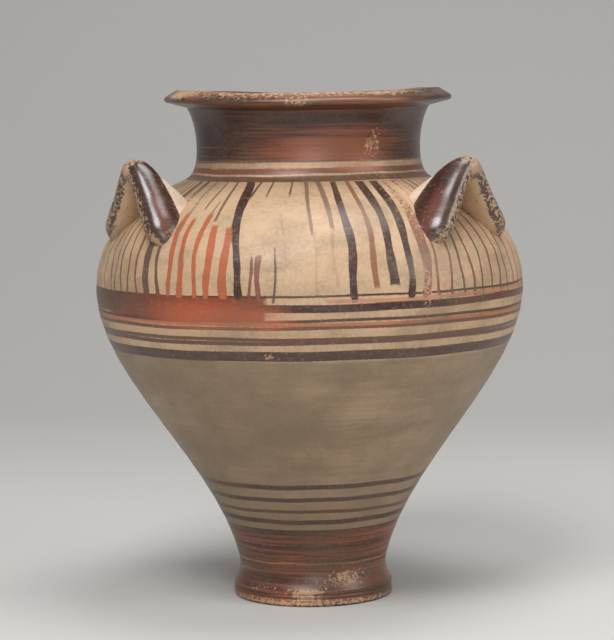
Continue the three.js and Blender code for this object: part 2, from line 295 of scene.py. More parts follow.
@dataclass
class Profile:
    """The outline of the jar's wall, shared by every turned piece and by what sits on it.

    The outside is four Bezier curves end to end: out from the waist to the belly, in over the shoulder to
    the neck, in to the throat, and out to the lip. The inside is the outside moved inwards by the wall,
    square to itself.

    Attributes:
        waist_lean: how far the wall leans out at the waist, in degrees.
        shoulder_slope: how far the shoulder falls at the neck, in degrees.
        waist_pull, under_belly_pull, over_belly_pull, shoulder_pull: how far each curve keeps its first or
            last direction, in millimetres.
        throat_bend, throat, flare_bend: heights above the neck's joint, in millimetres.
        lower_steps, shoulder_steps, neck_steps: the steps of the curves.
        inner_steps: the steps up the inside of one ring of wall.
        outer, inner: the two outlines, as points of radius and height.
    """

    waist_lean: float = 12.0
    shoulder_slope: float = 24.0
    waist_pull: float = 92.0
    under_belly_pull: float = 78.0
    over_belly_pull: float = 38.0
    shoulder_pull: float = 67.0
    throat_bend: float = 4.5
    throat: float = 26.5
    flare_bend: float = 48.5
    lower_steps: int = 120
    shoulder_steps: int = 90
    neck_steps: int = 24
    inner_steps: int = 10
    outer: Outline = field(init=False)
    inner: Outline = field(init=False)

    def __post_init__(self) -> None:
        """Works out the outside, and the inside from it."""
        lean, slope = math.radians(self.waist_lean), math.radians(self.shoulder_slope)
        lower = bezier([
            (WAIST_RADIUS, WAIST),
            (WAIST_RADIUS + self.waist_pull * math.sin(lean), WAIST + self.waist_pull * math.cos(lean)),
            (BELLY_RADIUS, BELLY - self.under_belly_pull),
            (BELLY_RADIUS, BELLY),
        ], self.lower_steps)
        pull_out, pull_down = self.shoulder_pull * math.cos(slope), self.shoulder_pull * math.sin(slope)
        shoulder = bezier([
            (BELLY_RADIUS, BELLY),
            (BELLY_RADIUS, BELLY + self.over_belly_pull),
            (NECK_BASE_RADIUS + pull_out, NECK - pull_down),
            (NECK_BASE_RADIUS, NECK),
        ], self.shoulder_steps)
        throat = (THROAT_RADIUS, NECK + self.throat)
        into, out_of = (THROAT_RADIUS, NECK + self.throat_bend), (THROAT_RADIUS, NECK + self.flare_bend)
        base = bezier([(NECK_BASE_RADIUS, NECK), into, throat], self.neck_steps)
        flare = bezier([throat, out_of, (NECK_TOP_RADIUS, LIP)], self.neck_steps)
        self.outer = np.vstack([lower, shoulder[1:], base[1:], flare[1:]])
        run = np.gradient(self.outer, axis=0)
        run /= np.linalg.norm(run, axis=1)[:, None]
        inner = self.outer + WALL * np.stack([-run[:, 1], run[:, 0]], 1)
        kept = (inner[:, 1] > FLOOR_TOP + FLOOR_CORNER) & (inner[:, 1] < LIP - WALL / 2)
        self.inner = np.vstack([inner[kept], [(MOUTH_RADIUS, CREST - MOUTH_ROUND)]])
        self.inner = self.inner[np.argsort(self.inner[:, 1])]

    def radius(self, height: np.ndarray) -> np.ndarray:
        """Gives the outside radius at each height."""
        return np.interp(height, self.outer[:, 1], self.outer[:, 0])

    def inside(self, height: np.ndarray | float) -> np.ndarray | float:
        """Gives the inside radius at each height."""
        return np.interp(height, self.inner[:, 1], self.inner[:, 0])

    def height(self, radius: np.ndarray) -> np.ndarray:
        """Gives the height of the shoulder's outside.

        Args:
            radius: the radii to look at, from the neck's base to the belly.

        Returns:
            The height at each radius.
        """
        part = self.outer[self.outer[:, 1] >= BELLY]
        part = part[part[:, 1] <= NECK]
        return np.interp(radius, part[::-1, 0], part[::-1, 1])

    def ring(self, low: float, high: float, steps: Sequence[float]) -> Outline:
        """Makes the closed outline of a ring of wall.

        Args:
            low, high: the heights of its two joints.
            steps: the heights of the outside points.

        Returns:
            Points of radius and height, from the lower outside edge round to the lower inside edge.
        """
        out = np.unique(np.concatenate([[low, high], [step for step in steps if low < step < high]]))
        back = np.linspace(high, low, self.inner_steps + 1)
        return np.vstack([np.stack([self.radius(out), out], 1), np.stack([self.inside(back), back], 1)])


@dataclass(frozen=True)
class Throwing:
    """The small unevenness of hand throwing, the same for every piece.

    The radius shrinks by waves round the jar and up it, and the lip drops by waves round it. Every wave is
    one less a cosine or a sine, so nothing grows past its size, and the resting plane stays flat.

    Attributes:
        oval, lobes, ridges: half the share of the radius that two waves, three waves and the finger rings
            take off at most.
        oval_start, ripple_start: where the waves of the oval and of the ripple start, in radians.
        oval_rise, lobe_rise, ridge_rise: the heights over which the waves move on by a radian.
        above_foot: where the waves come in above the resting plane.
        ridges_start, ridges_stop: where the finger rings come in and go out.
        sag, ripple: half of what two and five waves drop the lip, in millimetres, and from where on.
    """

    oval: float = 0.0022
    oval_start: float = 0.6
    oval_rise: float = 160.0
    lobes: float = 0.0012
    lobe_rise: float = 55.0
    ridges: float = 0.0009
    ridge_rise: float = 3.1
    above_foot: Ease = Ease(4, 40)
    ridges_start: Ease = Ease(35, 60)
    ridges_stop: Ease = Ease(360, 372)
    sag: Ease = Ease(395, 445, 1.7)
    ripple: Ease = Ease(425, 448, 0.35)
    ripple_start: float = 1.0

    def settle(self, points: np.ndarray) -> np.ndarray:
        """Moves places as throwing left them.

        Args:
            points: places in millimetres, one row each.

        Returns:
            The moved places.
        """
        x, y, z = points.T
        turn = np.arctan2(y, x)
        shrink = self.oval * (1 - np.cos(2 * turn + self.oval_start + z / self.oval_rise))
        shrink += self.lobes * (1 - np.sin(3 * turn + z / self.lobe_rise))
        rings = self.ridges_start.over(z) * (1 - self.ridges_stop.over(z))
        shrink += self.ridges * (1 - np.cos(z / self.ridge_rise)) * rings
        swell = 1 - shrink * self.above_foot.over(z)
        drop = (1 - np.cos(2 * turn)) * self.sag.over(z)
        drop += (1 - np.cos(5 * turn + self.ripple_start)) * self.ripple.over(z)
        return np.stack([x * swell, y * swell, z - drop], 1)


@dataclass
class Paint:
    """The paint, the wear and the painted shade on each point of a piece, which its shader reads as
    attributes.

    Attributes:
        edge: how far inside the edge of its stroke a point lies, in millimetres.
        pigment: the stroke's linear colour.
        cover: how solid the stroke is.
        worn, painted_shade_and_clay_tone, reddened: how worn the point is; how far painted shade and
        painted light, with the greyer lower clay, darken or lighten it; and how red it is.
        slip: how far inside the edge of the slip it lies, in millimetres.
    """

    edge: np.ndarray
    pigment: np.ndarray
    cover: np.ndarray
    worn: np.ndarray
    painted_shade_and_clay_tone: np.ndarray
    reddened: np.ndarray
    slip: np.ndarray

    @classmethod
    def even(cls, count: int, pigment: Pigment, depth: float, cover: float) -> "Paint":
        """Makes paint that is the same all over.

        Args:
            count: the number of points.
            pigment: the paint.
            depth: how far inside the edges of the paint and of the slip every point lies.
            cover: how solid the paint is.

        Returns:
            The paint, with nothing worn, no painted shade and nothing reddened.
        """
        none = np.zeros(count)
        colour = np.tile(pigment.value, (count, 1))
        return cls(none + depth, colour, none + cover, none, none, none, none + depth)

    def lay(self, depth: np.ndarray, stroke: Stripe | Band) -> None:
        """Lays a stroke where a point lies deeper in it than in what was there.

        Args:
            depth: how far inside the stroke's edge each point lies, in millimetres.
            stroke: what is laid.
        """
        over = depth > self.edge
        self.edge[over] = depth[over]
        self.pigment[over] = stroke.pigment.value
        self.cover[over] = stroke.cover

    def write(self, mesh: bpy.types.Mesh) -> None:
        """Stores the values on a mesh, one attribute each.

        Args:
            mesh: the mesh, with one vertex for each point.
        """
        for name in ("edge", "cover", "worn", "painted_shade_and_clay_tone", "reddened", "slip"):
            mesh.attributes.new(name, "FLOAT", "POINT").data.foreach_set("value", getattr(self, name))
        colours = np.column_stack([self.pigment, np.ones(len(self.pigment))])
        mesh.attributes.new("pigment", "FLOAT_COLOR", "POINT").data.foreach_set("color", colours.ravel())


@dataclass
class Painter:
    """Works out which stroke or band lies deepest over each point of the jar.

    Attributes:
        tilt: how far the bands lean across the jar, in millimetres at the belly.
        band_waves: height in millimetres and count round the jar of each wave in a band.
        band_taper: how fast a part band widens from its ends.
        stripes_end: the height where the strokes of the shoulder end.
        sway, sway_waves, sway_spread: how far a stroke wanders in degrees, how often, and how unlike the
            next one.
        fullness: the share of its width about which a stroke's two swells vary.
        swell, ripple: share of the width and frequency of the two swells.
        stripe_taper, stripe_tip: how fast a stroke widens from its ends, and its half width there.
        slip_from, slip_below: the slip covers what is above the first height and below the second.
        low_shade_top, low_shade_and_clay_tone: the heights over which the lower body stops being darker,
            and by how much: painted shade, and partly the greyer clay.
        unseen_start, unseen_stop: the turns between which the strokes behind are made up.
        unseen_widths, unseen_pigments, unseen_odds: what those strokes are drawn from.
        unseen_gap, unseen_slant: the least and the most turn between two of them, and their most slant.
        seed: the seed of those draws.
        stripes: all strokes, with those behind.
    """

    tilt: float = 1.3
    band_waves: tuple[Pair, Pair] = ((0.35, 3), (0.2, 11))
    band_taper: float = 0.12
    stripes_end: float = 281.0
    sway: float = 0.35
    sway_waves: float = 9.0
    sway_spread: float = 7.0
    fullness: float = 0.92
    swell: Pair = (0.16, 5)
    ripple: Pair = (0.06, 23)
    stripe_taper: float = 0.22
    stripe_tip: float = 0.7
    slip_from: float = 388.5
    slip_below: float = 69.2
    low_shade_top: Ease = Ease(224, 231)
    low_shade_and_clay_tone: float = 0.8
    unseen_start: float = 86.0
    unseen_stop: float = 268.0
    unseen_widths: Sequence[float] = (2.4, 3, 5, 7)
    unseen_pigments: Sequence[Pigment] = (P.BROWN, P.RUST, P.ORANGE, P.DARK)
    unseen_odds: Sequence[float] = (0.35, 0.25, 0.25, 0.15)
    unseen_gap: Pair = (3.4, 6.2)
    unseen_slant: float = 1.0
    seed: int = 11
    stripes: list[Stripe] = field(init=False)

    def __post_init__(self) -> None:
        """Adds made-up strokes behind the jar to those of the camera's side."""
        rng = np.random.default_rng(self.seed)
        self.stripes = list(STRIPES)
        turn = self.unseen_start
        while turn < self.unseen_stop:
            width = rng.choice(self.unseen_widths)
            pigment = rng.choice(self.unseen_pigments, p=self.unseen_odds)
            slant = rng.uniform(-self.unseen_slant, self.unseen_slant)
            self.stripes.append(Stripe(turn + slant, turn, width, pigment))
            turn += rng.uniform(*self.unseen_gap)

    @staticmethod
    def seen(points: np.ndarray) -> np.ndarray:
        """Gives each point's turn in degrees from the camera's side."""
        return np.degrees(np.arctan2(points[:, 0], -points[:, 1])) - CAMERA_TURN

    @staticmethod
    def aside(turn: np.ndarray, middle: np.ndarray | float, radius: np.ndarray) -> np.ndarray:
        """Gives how far round the wall, in millimetres, each point lies from a middle turn."""
        return np.radians((turn - middle + 180) % 360 - 180) * radius

    def spots(self, points: np.ndarray, patches: Sequence[Patch]) -> np.ndarray:
        """Adds up soft spots, each its amount times e raised to minus its squared distance in half sizes.

        Args:
            points: places in millimetres.
            patches: the spots.

        Returns:
            The sum at each point.
        """
        turn, radius = self.seen(points), np.hypot(points[:, 0], points[:, 1])
        total = np.zeros(len(points))
        for patch in patches:
            aside = self.aside(turn, patch.turn, radius) / patch.across
            total += patch.amount * np.exp(-(aside**2) - ((points[:, 2] - patch.height) / patch.tall) ** 2)
        return total

    def band_depth(self, band: Band, turn: np.ndarray, radius: np.ndarray, level: np.ndarray) -> np.ndarray:
        """Measures how deep in a band each point lies.

        It is half the width less the distance from the band's wavy middle, and tapers off at the ends of a
        part band.

        Args:
            band: the band.
            turn, radius, level: each point's turn, radius, and height on the tilted wheel.

        Returns:
            The depths in millimetres.
        """
        (wide, slow), (narrow, fast) = self.band_waves
        wave = wide * np.sin(np.radians(turn) * slow + band.height)
        wave = wave + narrow * np.sin(np.radians(turn) * fast + band.width)
        from_end = np.radians(np.minimum(turn - band.start, band.end - turn)) * radius
        return np.minimum(band.width / 2 - np.abs(level + wave - band.height), self.band_taper * from_end)

    def stripe_depth(
        self, stripe: Stripe, turn: np.ndarray, radius: np.ndarray, level: np.ndarray
    ) -> np.ndarray:
        """Measures how deep in a stroke of the shoulder each point lies.

        The stroke's middle runs from its top turn to its bottom turn with the square root of the way down,
        and sways. Its width swells by two waves, and the depth is half of it less the distance from the
        middle, tapered at both ends.

        Args:
            stripe: the stroke.
            turn, radius, level: each point's turn, radius, and height on the tilted wheel.

        Returns:
            The depths in millimetres.
        """
        length = NECK - self.stripes_end
        share = (NECK - level) / length
        middle = stripe.top + (stripe.bottom - stripe.top) * np.sqrt(np.clip(share, 0, 1))
        middle = middle + self.sway * np.sin(stripe.bottom * self.sway_spread + share * self.sway_waves)
        (swell, swell_waves), (ripple, ripple_waves) = self.swell, self.ripple
        fullness = self.fullness + swell * np.sin(share * swell_waves + stripe.bottom)
        width = stripe.width * (fullness + ripple * np.sin(share * ripple_waves + stripe.top))
        depth = width / 2 - np.abs(self.aside(turn, middle, radius))
        from_end = np.minimum(share - stripe.start, stripe.end - share) * length
        return np.minimum(depth, self.stripe_taper * from_end + self.stripe_tip)

    def paint(self, points: np.ndarray, bands: Sequence[Band], striped: bool) -> Paint:
        """Paints points of a turned piece.

        Args:
            points: places in millimetres.
            bands: the rings that the piece shows.
            striped: whether the shoulder's strokes run over it.

        Returns:
            The paint on each point.
        """
        turn, radius, height = self.seen(points), np.hypot(points[:, 0], points[:, 1]), points[:, 2]
        level = height - self.tilt * np.sin(np.radians(turn)) * radius / BELLY_RADIUS
        paint = Paint.even(len(points), P.BROWN, -FAR, 0)
        for band in bands:
            paint.lay(self.band_depth(band, turn, radius, level), band)
        for stripe in self.stripes if striped else []:
            paint.lay(self.stripe_depth(stripe, turn, radius, level), stripe)
        slip = np.maximum(level - self.slip_from, self.slip_below - level)
        # Painted shade: the clay below the belly's bands is darker, partly for shade and partly for its
        # greyer tone
        lower_shade_and_tone = self.low_shade_and_clay_tone * (1 - self.low_shade_top.over(height)) * (slip < 0)
        paint.slip = np.clip(slip, -FAR, FAR)
        paint.worn, paint.reddened = self.spots(points, WORN), self.spots(points, REDDENED)
        paint.painted_shade_and_clay_tone = self.spots(points, PAINTED_SHADE_AND_LIGHT) + lower_shade_and_tone
        return paint


class Wire:
    """A shader value that takes plain arithmetic."""

    def __init__(self, graph: "Graph", socket: bpy.types.NodeSocket) -> None:
        """Keeps the socket and the graph that new nodes go to."""
        self.graph, self.socket = graph, socket

    def __add__(self, other: "Wire | float") -> "Wire":
        """Adds a value, on either side."""
        return self.graph.math("ADD", self, other)

    def __sub__(self, other: "Wire | float") -> "Wire":
        """Takes a value away."""
        return self.graph.math("SUBTRACT", self, other)

    def __mul__(self, other: "Wire | float") -> "Wire":
        """Multiplies by a value, on either side."""
        return self.graph.math("MULTIPLY", self, other)

    def __rsub__(self, other: float) -> "Wire":
        """Takes this value away from a number."""
        return self.graph.math("SUBTRACT", other, self)

    __radd__, __rmul__ = __add__, __mul__


@dataclass(frozen=True)
class Noise:
    """A noise that is fixed to the jar.

    Attributes:
        scale: its cycles per metre along each axis.
        detail, rough: how many finer layers it has, and how strong each one is next to the last.
        lean: its turn about the Y axis, in radians.
    """

    scale: Triple
    detail: float
    rough: float
    lean: float = 0.0


class Graph:
    """A material's nodes, made through one method."""

    def __init__(self, name: str) -> None:
        """Makes an empty material.

        Args:
            name: the material's name.
        """
        self.material = bpy.data.materials.new(name)
        self.material.use_nodes = True
        self.tree = self.material.node_tree
        self.tree.nodes.clear()

    def node(self, kind: str, inputs: dict, output: int | str = 0, **settings: object) -> Wire | None:
        """Makes a node.

        Args:
            kind: the node's type.
            inputs: wires or constants by input name or number.
            output: which output to give back.
            settings: the node's own settings.

        Returns:
            The chosen output as a wire, or nothing from a node without outputs.
        """
        made = self.tree.nodes.new(kind)
        for key, value in settings.items():
            setattr(made, key, value)
        for key, value in inputs.items():
            if isinstance(value, Wire):
                self.tree.links.new(value.socket, made.inputs[key])
            else:
                made.inputs[key].default_value = value
        return Wire(self, made.outputs[output]) if made.outputs else None

    def math(self, operation: str, *values: Wire | float) -> Wire:
        """Makes a math node.

        Args:
            operation: its operation.
            values: its one or two values.

        Returns:
            The result.
        """
        return self.node("ShaderNodeMath", dict(enumerate(values)), operation=operation)

    def read(self, name: str, output: str = "Fac") -> Wire:
        """Reads an attribute of the mesh.

        Args:
            name: the attribute.
            output: "Fac" for a number, "Color" for a colour.

        Returns:
            The attribute's value.
        """
        return self.node("ShaderNodeAttribute", {}, output, attribute_name=name)

    def noise(self, noise: Noise) -> Wire:
        """Makes a noise on the object's own coordinates.

        Args:
            noise: its sizes.

        Returns:
            The noise, from 0 to 1 about its middle.
        """
        place = self.node("ShaderNodeTexCoord", {}, "Object")
        stretched = self.node("ShaderNodeMapping", {0: place, 2: (0.0, noise.lean, 0.0), 3: noise.scale})
        sockets = {"Vector": stretched, "Scale": 1.0, "Detail": noise.detail, "Roughness": noise.rough}
        return self.node("ShaderNodeTexNoise", sockets)

    @staticmethod
    def whole(colour: Wire | Triple) -> Wire | tuple[float, ...]:
        """Gives a constant colour its alpha, and leaves a wire as it is."""
        return colour if isinstance(colour, Wire) else (*colour, 1.0)

    def mix(self, share: Wire | float, first: Wire | Triple, second: Wire | Triple) -> Wire:
        """Mixes two colours.

        Args:
            share: how much of the second colour shows.
            first, second: the colours.

        Returns:
            The mixed colour.
        """
        sockets = {0: share, 6: self.whole(first), 7: self.whole(second)}
        return self.node("ShaderNodeMix", sockets, 2, data_type="RGBA")


@dataclass(frozen=True)
class Ground:
    """A coat that covers part of a piece, under its painted lines.

    Attributes:
        pale, deep: its two colours.
        depth: how far it leans to the deep one.
        streaky, cloudy: how strongly its streaks and its clouds vary.
        rough: its roughness.
        coat: its sheen.
    """

    pale: Triple
    deep: Triple
    depth: float
    streaky: float
    cloudy: float
    rough: float
    coat: float


CLAY = Ground(linear(198, 165, 131), linear(142, 121, 96), 0.12, 0.6, 0.9, 0.52, 0.04)
RED_SLIP = Ground(linear(146, 84, 56), linear(54, 31, 25), 0.56, 2.6, 0.9, 0.36, 0.14)
# The dark slip's deep colour is a blue-grey painted sheen, which its clouds mix over the dark paint
DARK_SLIP = Ground(linear(104, 68, 56), linear(52, 50, 56), 0.66, 0.9, 2.6, 0.33, 0.5)
RAW_CLAY = Ground(linear(220, 196, 172), linear(172, 128, 104), 0.2, 0.4, 1.6, 0.7, 0.0)

# The coat below and the coat of slip above it, for each slot
COATS = {
    Slot.PAINTED_CLAY: (CLAY, RED_SLIP),
    Slot.RED_SLIP: (CLAY, RED_SLIP),
    Slot.DARK_SLIP: (CLAY, DARK_SLIP),
    Slot.RAW_CLAY: (RAW_CLAY, DARK_SLIP),
}


@dataclass(frozen=True)
class Ageing:
    """How brush, fire and wear have broken up the coats, alike in every slot.

    A pair of weights goes to the grain and to the fine noise. An Ease gives where a mask comes in and how
    strong it gets.

    Attributes:
        fine, grain, broad, streaks, brush: the noises, from the smallest spots to the marks of the wheel.
        middle: the value about which every noise varies.
        ragged: weights in millimetres that make the edges of paint and slip ragged.
        slip_run: how far the streaks carry the edge of the slip, in millimetres.
        slip_edge, paint_edge: from bare to covered, in millimetres across the edge.
        brushed: ochre marks of the brush in the slip, over the brush noise.
        fired: redder slip, over the reddened value, whose share with the streaks starts at fired_base.
        thinned: where a stroke is thin, over the grain with thinned_brush of the brush noise.
        dulled: where a stroke is darker, over the broad noise with dulled_grain of the grain.
        red_paint: where a stroke is redder, over the reddened value.
        glow: redder clay beside the strokes, over the reddened value times glow_base plus glow_grain of the
            grain.
        bare_spots, bare, bare_cover: weights and mask of the clay that shows where a piece is worn.
        chip_spots, chips: weights and mask of small chips everywhere.
        speck_base, speck_spots, specks: the same for dark specks, with the spots taken away from the base.
        soil_grain, soil: earth left on the jar, over the broad noise with some grain.
        paint_gloss, grain_gloss, bare_gloss: what paint takes off the roughness, and what the grain and
            the bare clay add to it.
        relief_brush, relief_spots, relief_paint, relief_bare: how high each stands in the bump.
        bump_strength, bump_height: the bump, its height in metres.
        sheen_rough: the roughness of the sheen.
        shadow, earth, clay, ochre, fired_slip, fired_paint, fired_clay: the colours of these effects.
    """

    fine: Noise = Noise((1100, 1100, 1100), 4, 0.6)
    grain: Noise = Noise((330, 330, 330), 4, 0.65)
    broad: Noise = Noise((18, 18, 26), 4, 0.6)
    streaks: Noise = Noise((7, 7, 230), 5, 0.66, 0.03)
    brush: Noise = Noise((26, 26, 900), 4, 0.62, 0.02)
    middle: float = 0.5
    ragged: Pair = (1.1, 0.9)
    slip_run: float = 2.2
    slip_edge: Ease = Ease(-0.3, 0.3)
    paint_edge: Ease = Ease(-0.3, 0.35)
    brushed: Ease = Ease(0.6, 0.74, 0.4)
    fired: Ease = Ease(0.3, 1.1, 0.6)
    fired_base: float = 0.5
    thinned: Ease = Ease(0.7, 1.0, 0.3)
    thinned_brush: float = 0.4
    dulled: Ease = Ease(0.7, 1.1, 0.45)
    dulled_grain: float = 0.6
    red_paint: Ease = Ease(0.15, 0.9, 0.8)
    glow: Ease = Ease(0.3, 1.2, 0.45)
    glow_base: float = 0.7
    glow_grain: float = 0.5
    bare_spots: Pair = (1.9, 1.2)
    bare: Ease = Ease(0.5, 0.62)
    bare_cover: float = 0.85
    chip_spots: Pair = (0.75, 0.45)
    chips: Ease = Ease(0.8, 0.83, 0.7)
    speck_base: float = 0.95
    speck_spots: Pair = (0.8, 0.4)
    specks: Ease = Ease(0.6, 0.66, 0.35)
    soil_grain: float = 0.5
    soil: Ease = Ease(0.6, 1.0, 0.45)
    paint_gloss: float = 0.16
    grain_gloss: float = 0.2
    bare_gloss: float = 0.2
    relief_brush: float = 0.45
    relief_spots: Pair = (0.55, 0.35)
    relief_paint: float = 0.2
    relief_bare: float = 0.5
    bump_strength: float = 0.4
    bump_height: float = 0.0006
    sheen_rough: float = 0.22
    shadow: Triple = linear(60, 44, 34)
    earth: Triple = linear(112, 92, 70)
    clay: Triple = linear(204, 168, 132)
    ochre: Triple = linear(150, 92, 52)
    fired_slip: Triple = linear(160, 84, 54)
    fired_paint: Triple = linear(176, 78, 46)
    fired_clay: Triple = linear(186, 108, 68)


class Surface:
    """The shader of one slot: two coats, the painted lines over them, and the wear over all."""

    COAT_DEPTH = Ease(0.0, 1.0)

    def __init__(self, slot: Slot, age: Ageing) -> None:
        """Starts the material with its noises, and the wear, painted shade and redness that its meshes
        carry.

        Args:
            slot: the slot that it finishes.
            age: how brush, fire and wear show.
        """
        self.graph, self.age = Graph(slot.value), age
        self.below, self.above = COATS[slot]
        noises = (age.fine, age.grain, age.broad, age.streaks, age.brush)
        self.fine, self.grain, self.broad, self.streaks, self.brush = map(self.graph.noise, noises)
        self.painted_shade_and_clay_tone, self.worn, self.reddened = map(self.graph.read, ("painted_shade_and_clay_tone", "worn", "reddened"))

    def spots(self, weights: Pair) -> Wire:
        """Adds up the grain and the fine noise, each times its weight."""
        return self.grain * weights[0] + self.fine * weights[1]

    def speckle(self, weights: Pair) -> Wire:
        """Adds up the same two noises about their middle, so that the sum varies about 0."""
        middle = self.age.middle
        return weights[0] * (self.grain - middle) + weights[1] * (self.fine - middle)

    def coat(self, ground: Ground) -> Wire:
        """Colours one coat, from pale to deep by its streaks, its clouds and the painted shade, which also
        holds the greyer lower clay.

        Args:
            ground: the coat.

        Returns:
            Its colour.
        """
        streaks, clouds = self.streaks - self.age.middle, self.broad - self.age.middle
        # Painted shade and painted light push the coat towards deep or pale
        depth = ground.streaky * streaks + ground.cloudy * clouds + self.painted_shade_and_clay_tone + ground.depth
        return self.graph.mix(self.COAT_DEPTH.shade(depth), ground.pale, ground.deep)

    def slip_colour(self) -> Wire:
        """Colours the slip, with the brush's ochre marks and its redder places.

        Returns:
            Its colour.
        """
        mix, age = self.graph.mix, self.age
        coat = mix(age.brushed.shade(self.brush), self.coat(self.above), age.ochre)
        return mix(age.fired.shade(self.reddened * (age.fired_base + self.streaks)), coat, age.fired_slip)

    def paint_colour(self) -> Wire:
        """Colours the painted lines, with their darker and their redder places.

        Returns:
            Their colour.
        """
        mix, age = self.graph.mix, self.age
        dull = age.dulled.shade(self.broad + age.dulled_grain * self.grain)
        pigment = mix(dull, self.graph.read("pigment", "Color"), age.shadow)
        return mix(age.red_paint.shade(self.reddened), pigment, age.fired_paint)

    def weather(self, coloured: Wire, bare: Wire) -> Wire:
        """Lays bare clay, chips, specks and earth over the painted colours.

        Args:
            coloured: the colours below.
            bare: where the piece is worn down to its clay.

        Returns:
            The colours of the aged surface.
        """
        mix, age = self.graph.mix, self.age
        coloured = mix(bare * age.bare_cover, coloured, age.clay)
        coloured = mix(age.chips.shade(self.spots(age.chip_spots)), coloured, age.clay)
        coloured = mix(age.specks.shade(age.speck_base - self.spots(age.speck_spots)), coloured, age.shadow)
        return mix(age.soil.shade(self.broad + age.soil_grain * self.grain), coloured, age.earth)

    def material(self) -> bpy.types.Material:
        """Joins the coats, the paint and the wear into the material.

        Returns:
            The material.
        """
        g, age, below, above = self.graph, self.age, self.below, self.above
        ragged = self.speckle(age.ragged)
        slip = age.slip_edge.shade(g.read("slip") + ragged + age.slip_run * (self.streaks - age.middle))
        thin = age.thinned.shade(self.grain + age.thinned_brush * self.brush)
        painted = age.paint_edge.shade(g.read("edge") + ragged) * g.read("cover") * (1.0 - thin)
        bare = age.bare.shade(self.worn + self.speckle(age.bare_spots))

        coloured = g.mix(slip, self.coat(below), self.slip_colour())
        coloured = g.mix(painted, coloured, self.paint_colour())
        glow = age.glow.shade(self.reddened * (age.glow_base + age.glow_grain * self.grain)) * (1.0 - slip)
        coloured = self.weather(g.mix(glow, coloured, age.fired_clay), bare)

        glossy = painted * age.paint_gloss + slip * (below.rough - above.rough)
        rough = below.rough - glossy + age.grain_gloss * (self.grain - age.middle) + age.bare_gloss * bare
        relief = age.relief_brush * self.brush + self.spots(age.relief_spots)
        relief = relief + age.relief_paint * painted - age.relief_bare * bare
        bump = {"Strength": age.bump_strength, "Distance": age.bump_height, "Height": relief}
        shader = g.node("ShaderNodeBsdfPrincipled", {
            "Base Color": coloured, "Roughness": rough,
            "Coat Weight": (below.coat + above.coat * slip) * (1.0 - bare),
            "Coat Roughness": age.sheen_rough, "Normal": g.node("ShaderNodeBump", bump),
        })
        g.node("ShaderNodeOutputMaterial", {0: shader})
        return g.material


Materials = dict[Slot, bpy.types.Material]


class Piece:
    """A closed shell that stands for one CAD node."""

    SHARP = 50.0

    def __init__(self, name: str, points: np.ndarray, faces: Sequence, paint: Paint) -> None:
        """Makes the mesh in its place, with its paint, on the jar's body.

        Args:
            name: the CAD node's name.
            points: places in millimetres.
            faces: the faces, as numbers of points.
            paint: the paint on each point.
        """
        mesh = bpy.data.meshes.new(name)
        mesh.from_pydata((points * MM).tolist(), [], faces)
        paint.write(mesh)
        mesh.shade_smooth()
        mesh.set_sharp_from_angle(angle=math.radians(self.SHARP))
        self.object = bpy.data.objects.new(f"look_{name}", mesh)
        bpy.context.scene.collection.objects.link(self.object)
        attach(self.object, "root")
        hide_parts(name)

    def dress(self, slot: Slot, materials: Materials) -> "Piece":
        """Gives the piece the material of a slot.

        Args:
            slot: the slot.
            materials: the material of each slot.

        Returns:
            The piece itself.
        """
        self.object.data.materials.append(materials[slot])
        return self


def ring_faces(rings: int, columns: int, wrap: bool) -> list:
    """Lists the faces between rings of points.

    Args:
        rings: the number of rings.
        columns: the points in each ring.
        wrap: whether the last ring joins the first one.

    Returns:
        Quads, with a cap at each end where the rings don't wrap.
    """
    starts = np.arange(rings if wrap else rings - 1)[:, None] * columns
    this, beside = starts + np.arange(columns), starts + np.roll(np.arange(columns), -1)
    above, above_beside = (this + columns) % (rings * columns), (beside + columns) % (rings * columns)
    faces = np.stack([this, beside, above_beside, above], -1).reshape(-1, 4).tolist()
    if not wrap:
        faces.append(list(range(columns))[::-1])
        faces.append(list(range((rings - 1) * columns, rings * columns)))
    return faces


@dataclass
class Turned:
    """A piece thrown on the wheel: a closed outline carried round the jar's axis.

    A point of the outline at radius r and height h, turned by t from the front, has r times the sine of t
    as its x, minus r times the cosine of t as its y, and h as its z.

    Attributes:
        profile: the wall that the piece belongs to.
        painter: who paints it.
        throwing: the unevenness that all pieces share.
        fine_turns, coarse_turns: start, end and step in degrees of the columns in view and of those behind.
        NAME, SLOT: the piece's CAD node and its slot.
        BANDS: the painted rings that it shows.
        STRIPED: whether the shoulder's strokes run over it.
        CAPPED: whether the outline's two ends close with flat discs instead of joining.
        EVERY: how many columns go to one of this piece's.
    """

    profile: Profile
    painter: Painter
    throwing: Throwing
    fine_turns: Triple = (-100, 110, 0.25)
    coarse_turns: Triple = (110, 260, 1.25)

    NAME: ClassVar[str]
    SLOT: ClassVar[Slot] = Slot.RED_SLIP
    BANDS: ClassVar[Sequence[Band]] = ()
    STRIPED: ClassVar[bool] = False
    CAPPED: ClassVar[bool] = False
    EVERY: ClassVar[int] = 2

    def outline(self) -> Outline:
        """Makes the closed outline, as points of radius and height."""
        raise NotImplementedError

    def build(self, materials: Materials) -> list[Piece]:
        """Turns the outline, paints the piece and dresses it.

        Args:
            materials: the material of each slot.

        Returns:
            The one piece.
        """
        outline = self.outline()
        columns = np.concatenate([np.arange(*self.fine_turns), np.arange(*self.coarse_turns)])
        turns = np.radians(columns)[::self.EVERY]
        radius, height = outline[:, :1], outline[:, 1:]
        grid = np.stack([radius * np.sin(turns), -radius * np.cos(turns), height + 0 * turns], -1)
        points = grid.reshape(-1, 3)
        faces = ring_faces(len(outline), len(turns), not self.CAPPED)
        paint = self.painter.paint(points, self.BANDS, self.STRIPED)
        return [Piece(self.NAME, self.throwing.settle(points), faces, paint).dress(self.SLOT, materials)]


